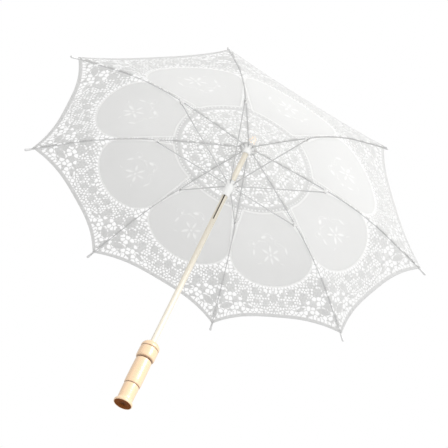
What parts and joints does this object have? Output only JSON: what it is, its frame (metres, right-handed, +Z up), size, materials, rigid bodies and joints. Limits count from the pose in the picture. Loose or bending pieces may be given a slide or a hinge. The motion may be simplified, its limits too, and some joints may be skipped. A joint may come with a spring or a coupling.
{
  "type": "lace parasol",
  "caption": "Hand-held parasol with a scalloped lace canopy on folding wire ribs, a runner that slides on a wooden shaft, and a turned wooden handle.",
  "frame": {"origin": "centre of the handle's flat end face, on the shaft's axis", "axes": "+Z up the shaft from the handle to the finial, +X along rib 1, spring catch on the -Y side"},
  "size_m": [0.801, 0.801, 0.6548],
  "materials": {
    "shaft_wood": "clear satin varnish on pale dowel",
    "handle_wood": "gloss varnish on turned pale wood",
    "dark_wood": "dark stained, satin",
    "white_plastic": "moulded, slightly translucent",
    "rib_enamel": "white enamel on steel wire",
    "ring_wire": "bright drawn wire",
    "spring_steel": "dark spring steel",
    "lace_cotton": "white tape lace with embroidered cotton"
  },
  "bodies": {
    "shaft": {"shaft": "shaft_wood", "handle": "handle_wood", "handle_end_cap": "dark_wood", "finial": "handle_wood", "canopy_rosette": "lace_cotton", "crown": "white_plastic", "crown_wire": "ring_wire", "crown_pin": "ring_wire", "runner_stop_pin": "ring_wire"},
    "runner": {"runner": "white_plastic", "runner_wire": "ring_wire"},
    "top_spring": {"top_spring": "spring_steel"},
    "rib_1": {"rib_1": "rib_enamel"},
    "rib_1_outer": {"rib_1_outer": "rib_enamel", "rib_1_tip": "white_plastic"},
    "stretcher_1": {"stretcher_1": "rib_enamel"},
    "gore_1": {"gore_1_inner": "lace_cotton"},
    "gore_1_outer": {"gore_1_outer": "lace_cotton"},
    "rib_2": {"rib_2": "rib_enamel"},
    "rib_2_outer": {"rib_2_outer": "rib_enamel", "rib_2_tip": "white_plastic"},
    "stretcher_2": {"stretcher_2": "rib_enamel"},
    "gore_2": {"gore_2_inner": "lace_cotton"},
    "gore_2_outer": {"gore_2_outer": "lace_cotton"},
    "rib_3": {"rib_3": "rib_enamel"},
    "rib_3_outer": {"rib_3_outer": "rib_enamel", "rib_3_tip": "white_plastic"},
    "stretcher_3": {"stretcher_3": "rib_enamel"},
    "gore_3": {"gore_3_inner": "lace_cotton"},
    "gore_3_outer": {"gore_3_outer": "lace_cotton"},
    "rib_4": {"rib_4": "rib_enamel"},
    "rib_4_outer": {"rib_4_outer": "rib_enamel", "rib_4_tip": "white_plastic"},
    "stretcher_4": {"stretcher_4": "rib_enamel"},
    "gore_4": {"gore_4_inner": "lace_cotton"},
    "gore_4_outer": {"gore_4_outer": "lace_cotton"},
    "rib_5": {"rib_5": "rib_enamel"},
    "rib_5_outer": {"rib_5_outer": "rib_enamel", "rib_5_tip": "white_plastic"},
    "stretcher_5": {"stretcher_5": "rib_enamel"},
    "gore_5": {"gore_5_inner": "lace_cotton"},
    "gore_5_outer": {"gore_5_outer": "lace_cotton"},
    "rib_6": {"rib_6": "rib_enamel"},
    "rib_6_outer": {"rib_6_outer": "rib_enamel", "rib_6_tip": "white_plastic"},
    "stretcher_6": {"stretcher_6": "rib_enamel"},
    "gore_6": {"gore_6_inner": "lace_cotton"},
    "gore_6_outer": {"gore_6_outer": "lace_cotton"},
    "rib_7": {"rib_7": "rib_enamel"},
    "rib_7_outer": {"rib_7_outer": "rib_enamel", "rib_7_tip": "white_plastic"},
    "stretcher_7": {"stretcher_7": "rib_enamel"},
    "gore_7": {"gore_7_inner": "lace_cotton"},
    "gore_7_outer": {"gore_7_outer": "lace_cotton"},
    "rib_8": {"rib_8": "rib_enamel"},
    "rib_8_outer": {"rib_8_outer": "rib_enamel", "rib_8_tip": "white_plastic"},
    "stretcher_8": {"stretcher_8": "rib_enamel"},
    "gore_8": {"gore_8_inner": "lace_cotton"},
    "gore_8_outer": {"gore_8_outer": "lace_cotton"}
  },
  "joints": [
    {"name": "canopy_fold", "type": "hinge", "parent": "shaft", "child": "rib_1", "pos_m": [0.011, 0, 0.6175], "axis": [0, 1, 0], "range_deg": [0, 69]},
    {"name": "rib_2_fold", "type": "hinge", "parent": "shaft", "child": "rib_2", "pos_m": [0.00778, 0.00778, 0.6175], "axis": [-0.7071, 0.7071, 0], "range_deg": [0, 69]},
    {"name": "rib_3_fold", "type": "hinge", "parent": "shaft", "child": "rib_3", "pos_m": [0, 0.011, 0.6175], "axis": [-1, 0, 0], "range_deg": [0, 69]},
    {"name": "rib_4_fold", "type": "hinge", "parent": "shaft", "child": "rib_4", "pos_m": [-0.00778, 0.00778, 0.6175], "axis": [-0.7071, -0.7071, 0], "range_deg": [0, 69]},
    {"name": "rib_5_fold", "type": "hinge", "parent": "shaft", "child": "rib_5", "pos_m": [-0.011, 0, 0.6175], "axis": [0, -1, 0], "range_deg": [0, 69]},
    {"name": "rib_6_fold", "type": "hinge", "parent": "shaft", "child": "rib_6", "pos_m": [-0.00778, -0.00778, 0.6175], "axis": [0.7071, -0.7071, 0], "range_deg": [0, 69]},
    {"name": "rib_7_fold", "type": "hinge", "parent": "shaft", "child": "rib_7", "pos_m": [0, -0.011, 0.6175], "axis": [1, 0, 0], "range_deg": [0, 69]},
    {"name": "rib_8_fold", "type": "hinge", "parent": "shaft", "child": "rib_8", "pos_m": [0.00778, -0.00778, 0.6175], "axis": [0.7071, 0.7071, 0], "range_deg": [0, 69]},
    {"name": "stretcher_1_swing", "type": "hinge", "parent": "rib_1", "child": "stretcher_1", "pos_m": [0.17404, 0, 0.5662], "axis": [0, 1, 0], "range_deg": [-138, 0]},
    {"name": "stretcher_2_swing", "type": "hinge", "parent": "rib_2", "child": "stretcher_2", "pos_m": [0.12307, 0.12307, 0.5662], "axis": [-0.7071, 0.7071, 0], "range_deg": [-138, 0]},
    {"name": "stretcher_3_swing", "type": "hinge", "parent": "rib_3", "child": "stretcher_3", "pos_m": [0, 0.17404, 0.5662], "axis": [-1, 0, 0], "range_deg": [-138, 0]},
    {"name": "stretcher_4_swing", "type": "hinge", "parent": "rib_4", "child": "stretcher_4", "pos_m": [-0.12307, 0.12307, 0.5662], "axis": [-0.7071, -0.7071, 0], "range_deg": [-138, 0]},
    {"name": "stretcher_5_swing", "type": "hinge", "parent": "rib_5", "child": "stretcher_5", "pos_m": [-0.17404, 0, 0.5662], "axis": [0, -1, 0], "range_deg": [-138, 0]},
    {"name": "stretcher_6_swing", "type": "hinge", "parent": "rib_6", "child": "stretcher_6", "pos_m": [-0.12307, -0.12307, 0.5662], "axis": [0.7071, -0.7071, 0], "range_deg": [-138, 0]},
    {"name": "stretcher_7_swing", "type": "hinge", "parent": "rib_7", "child": "stretcher_7", "pos_m": [0, -0.17404, 0.5662], "axis": [1, 0, 0], "range_deg": [-138, 0]},
    {"name": "stretcher_8_swing", "type": "hinge", "parent": "rib_8", "child": "stretcher_8", "pos_m": [0.12307, -0.12307, 0.5662], "axis": [0.7071, 0.7071, 0], "range_deg": [-138, 0]},
    {"name": "runner_slide", "type": "hinge", "parent": "stretcher_1", "child": "runner", "pos_m": [0.011, 0, 0.51491], "axis": [0, 1, 0], "range_deg": [0, 69]},
    {"name": "rib_1_flex", "type": "hinge", "parent": "rib_1", "child": "rib_1_outer", "pos_m": [0.18016, 0, 0.56899], "axis": [0, 1, 0], "range_deg": [-12.42, 0]},
    {"name": "rib_2_flex", "type": "hinge", "parent": "rib_2", "child": "rib_2_outer", "pos_m": [0.12739, 0.12739, 0.56899], "axis": [-0.7071, 0.7071, 0], "range_deg": [-12.42, 0]},
    {"name": "rib_3_flex", "type": "hinge", "parent": "rib_3", "child": "rib_3_outer", "pos_m": [0, 0.18016, 0.56899], "axis": [-1, 0, 0], "range_deg": [-12.42, 0]},
    {"name": "rib_4_flex", "type": "hinge", "parent": "rib_4", "child": "rib_4_outer", "pos_m": [-0.12739, 0.12739, 0.56899], "axis": [-0.7071, -0.7071, 0], "range_deg": [-12.42, 0]},
    {"name": "rib_5_flex", "type": "hinge", "parent": "rib_5", "child": "rib_5_outer", "pos_m": [-0.18016, 0, 0.56899], "axis": [0, -1, 0], "range_deg": [-12.42, 0]},
    {"name": "rib_6_flex", "type": "hinge", "parent": "rib_6", "child": "rib_6_outer", "pos_m": [-0.12739, -0.12739, 0.56899], "axis": [0.7071, -0.7071, 0], "range_deg": [-12.42, 0]},
    {"name": "rib_7_flex", "type": "hinge", "parent": "rib_7", "child": "rib_7_outer", "pos_m": [0, -0.18016, 0.56899], "axis": [1, 0, 0], "range_deg": [-12.42, 0]},
    {"name": "rib_8_flex", "type": "hinge", "parent": "rib_8", "child": "rib_8_outer", "pos_m": [0.12739, -0.12739, 0.56899], "axis": [0.7071, 0.7071, 0], "range_deg": [-12.42, 0]},
    {"name": "gore_1_fold", "type": "hinge", "parent": "shaft", "child": "gore_1", "pos_m": [0.00939, 0.00389, 0.619], "axis": [-0.3827, 0.9239, 0], "range_deg": [0, 67.28], "deforming": ["gore_1_inner"]},
    {"name": "gore_1_flex", "type": "hinge", "parent": "gore_1", "child": "gore_1_outer", "pos_m": [0.15436, 0.06394, 0.57086], "axis": [-0.3827, 0.9239, 0], "range_deg": [-12.42, 0], "deforming": ["gore_1_outer"]},
    {"name": "gore_2_fold", "type": "hinge", "parent": "shaft", "child": "gore_2", "pos_m": [0.00389, 0.00939, 0.619], "axis": [-0.9239, 0.3827, 0], "range_deg": [0, 67.28], "deforming": ["gore_2_inner"]},
    {"name": "gore_2_flex", "type": "hinge", "parent": "gore_2", "child": "gore_2_outer", "pos_m": [0.06394, 0.15436, 0.57086], "axis": [-0.9239, 0.3827, 0], "range_deg": [-12.42, 0], "deforming": ["gore_2_outer"]},
    {"name": "gore_3_fold", "type": "hinge", "parent": "shaft", "child": "gore_3", "pos_m": [-0.00389, 0.00939, 0.619], "axis": [-0.9239, -0.3827, 0], "range_deg": [0, 67.28], "deforming": ["gore_3_inner"]},
    {"name": "gore_3_flex", "type": "hinge", "parent": "gore_3", "child": "gore_3_outer", "pos_m": [-0.06394, 0.15436, 0.57086], "axis": [-0.9239, -0.3827, 0], "range_deg": [-12.42, 0], "deforming": ["gore_3_outer"]},
    {"name": "gore_4_fold", "type": "hinge", "parent": "shaft", "child": "gore_4", "pos_m": [-0.00939, 0.00389, 0.619], "axis": [-0.3827, -0.9239, 0], "range_deg": [0, 67.28], "deforming": ["gore_4_inner"]},
    {"name": "gore_4_flex", "type": "hinge", "parent": "gore_4", "child": "gore_4_outer", "pos_m": [-0.15436, 0.06394, 0.57086], "axis": [-0.3827, -0.9239, 0], "range_deg": [-12.42, 0], "deforming": ["gore_4_outer"]},
    {"name": "gore_5_fold", "type": "hinge", "parent": "shaft", "child": "gore_5", "pos_m": [-0.00939, -0.00389, 0.619], "axis": [0.3827, -0.9239, 0], "range_deg": [0, 67.28], "deforming": ["gore_5_inner"]},
    {"name": "gore_5_flex", "type": "hinge", "parent": "gore_5", "child": "gore_5_outer", "pos_m": [-0.15436, -0.06394, 0.57086], "axis": [0.3827, -0.9239, 0], "range_deg": [-12.42, 0], "deforming": ["gore_5_outer"]},
    {"name": "gore_6_fold", "type": "hinge", "parent": "shaft", "child": "gore_6", "pos_m": [-0.00389, -0.00939, 0.619], "axis": [0.9239, -0.3827, 0], "range_deg": [0, 67.28], "deforming": ["gore_6_inner"]},
    {"name": "gore_6_flex", "type": "hinge", "parent": "gore_6", "child": "gore_6_outer", "pos_m": [-0.06394, -0.15436, 0.57086], "axis": [0.9239, -0.3827, 0], "range_deg": [-12.42, 0], "deforming": ["gore_6_outer"]},
    {"name": "gore_7_fold", "type": "hinge", "parent": "shaft", "child": "gore_7", "pos_m": [0.00389, -0.00939, 0.619], "axis": [0.9239, 0.3827, 0], "range_deg": [0, 67.28], "deforming": ["gore_7_inner"]},
    {"name": "gore_7_flex", "type": "hinge", "parent": "gore_7", "child": "gore_7_outer", "pos_m": [0.06394, -0.15436, 0.57086], "axis": [0.9239, 0.3827, 0], "range_deg": [-12.42, 0], "deforming": ["gore_7_outer"]},
    {"name": "gore_8_fold", "type": "hinge", "parent": "shaft", "child": "gore_8", "pos_m": [0.00939, -0.00389, 0.619], "axis": [0.3827, 0.9239, 0], "range_deg": [0, 67.28], "deforming": ["gore_8_inner"]},
    {"name": "gore_8_flex", "type": "hinge", "parent": "gore_8", "child": "gore_8_outer", "pos_m": [0.15436, -0.06394, 0.57086], "axis": [0.3827, 0.9239, 0], "range_deg": [-12.42, 0], "deforming": ["gore_8_outer"]},
    {"name": "spring_catch", "type": "hinge", "parent": "shaft", "child": "top_spring", "pos_m": [0, -0.0028, 0.4214], "axis": [-1, 0, 0], "range_deg": [0, 1.6], "stiffness_Nm_per_rad": 4.6, "springref_deg": -2.86}
  ],
  "couplings": [
    {"joint": "rib_2_fold", "follows": "canopy_fold", "ratio": 1},
    {"joint": "rib_3_fold", "follows": "canopy_fold", "ratio": 1},
    {"joint": "rib_4_fold", "follows": "canopy_fold", "ratio": 1},
    {"joint": "rib_5_fold", "follows": "canopy_fold", "ratio": 1},
    {"joint": "rib_6_fold", "follows": "canopy_fold", "ratio": 1},
    {"joint": "rib_7_fold", "follows": "canopy_fold", "ratio": 1},
    {"joint": "rib_8_fold", "follows": "canopy_fold", "ratio": 1},
    {"joint": "stretcher_1_swing", "follows": "canopy_fold", "ratio": -2},
    {"joint": "stretcher_2_swing", "follows": "canopy_fold", "ratio": -2},
    {"joint": "stretcher_3_swing", "follows": "canopy_fold", "ratio": -2},
    {"joint": "stretcher_4_swing", "follows": "canopy_fold", "ratio": -2},
    {"joint": "stretcher_5_swing", "follows": "canopy_fold", "ratio": -2},
    {"joint": "stretcher_6_swing", "follows": "canopy_fold", "ratio": -2},
    {"joint": "stretcher_7_swing", "follows": "canopy_fold", "ratio": -2},
    {"joint": "stretcher_8_swing", "follows": "canopy_fold", "ratio": -2},
    {"joint": "runner_slide", "follows": "canopy_fold", "ratio": 1},
    {"joint": "rib_1_flex", "follows": "canopy_fold", "ratio": -0.18},
    {"joint": "rib_2_flex", "follows": "canopy_fold", "ratio": -0.18},
    {"joint": "rib_3_flex", "follows": "canopy_fold", "ratio": -0.18},
    {"joint": "rib_4_flex", "follows": "canopy_fold", "ratio": -0.18},
    {"joint": "rib_5_flex", "follows": "canopy_fold", "ratio": -0.18},
    {"joint": "rib_6_flex", "follows": "canopy_fold", "ratio": -0.18},
    {"joint": "rib_7_flex", "follows": "canopy_fold", "ratio": -0.18},
    {"joint": "rib_8_flex", "follows": "canopy_fold", "ratio": -0.18},
    {"joint": "gore_1_fold", "follows": "canopy_fold", "ratio": 0.975},
    {"joint": "gore_1_flex", "follows": "canopy_fold", "ratio": -0.18},
    {"joint": "gore_2_fold", "follows": "canopy_fold", "ratio": 0.975},
    {"joint": "gore_2_flex", "follows": "canopy_fold", "ratio": -0.18},
    {"joint": "gore_3_fold", "follows": "canopy_fold", "ratio": 0.975},
    {"joint": "gore_3_flex", "follows": "canopy_fold", "ratio": -0.18},
    {"joint": "gore_4_fold", "follows": "canopy_fold", "ratio": 0.975},
    {"joint": "gore_4_flex", "follows": "canopy_fold", "ratio": -0.18},
    {"joint": "gore_5_fold", "follows": "canopy_fold", "ratio": 0.975},
    {"joint": "gore_5_flex", "follows": "canopy_fold", "ratio": -0.18},
    {"joint": "gore_6_fold", "follows": "canopy_fold", "ratio": 0.975},
    {"joint": "gore_6_flex", "follows": "canopy_fold", "ratio": -0.18},
    {"joint": "gore_7_fold", "follows": "canopy_fold", "ratio": 0.975},
    {"joint": "gore_7_flex", "follows": "canopy_fold", "ratio": -0.18},
    {"joint": "gore_8_fold", "follows": "canopy_fold", "ratio": 0.975},
    {"joint": "gore_8_flex", "follows": "canopy_fold", "ratio": -0.18}
  ]
}
